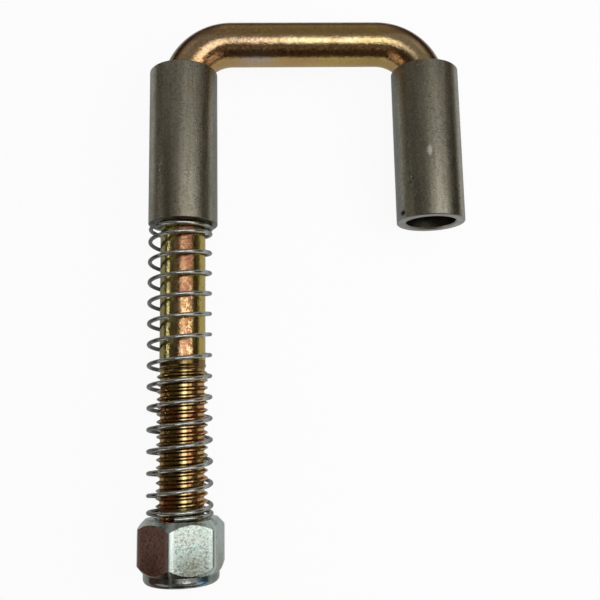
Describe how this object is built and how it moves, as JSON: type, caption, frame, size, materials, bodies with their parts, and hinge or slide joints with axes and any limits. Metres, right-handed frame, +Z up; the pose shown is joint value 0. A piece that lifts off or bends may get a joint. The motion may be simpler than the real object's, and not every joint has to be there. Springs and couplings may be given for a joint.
{
  "type": "trailer gate pin",
  "caption": "Spring-loaded gate pin: a bent round bar sprung by a coil spring and lock nut against a weld-on guide tube, with a separate weld-on catch tube.",
  "frame": {"origin": "middle of the guide tube, on its axis, which is the axis of the pin's long leg", "axes": "+Y along the long leg towards the handle bar, +X from the long leg to the short leg, +Z up as the part lies on a table"},
  "size_m": [0.1047, 0.1802, 0.0268],
  "materials": {
    "yellow_zinc": "yellow chromate zinc plate, glossy and uneven, gold to olive brown",
    "bare_tube": "bare drawn steel tube with fine lengthwise streaks and sawn ends",
    "spring_wire": "bright drawn spring wire",
    "clear_zinc": "clear zinc plate, mottled, faintly blue",
    "nylon": "natural nylon"
  },
  "bodies": {
    "guide": {"guide_tube": "bare_tube"},
    "spring": {"spring": "spring_wire"},
    "pin": {"pin_rod": "yellow_zinc", "lock_nut": "clear_zinc", "nylon_insert": "nylon"},
    "catch": {"catch_tube": "bare_tube"}
  },
  "joints": [
    {"name": "pin_turn", "type": "hinge", "parent": "guide", "child": "spring", "pos_m": [0, 0, 0], "axis": [0, -1, 0], "continuous": true},
    {"name": "pin_lift", "type": "slide", "parent": "spring", "child": "pin", "axis": [0, 1, 0], "range_m": [0, 0.05], "stiffness_N_per_m": 295, "springref_m": -0.017, "deforming": ["spring"]},
    {"name": "catch_draw", "type": "slide", "parent": "pin", "child": "catch", "axis": [0, -1, 0], "range_m": [0, 0.055]}
  ]
}
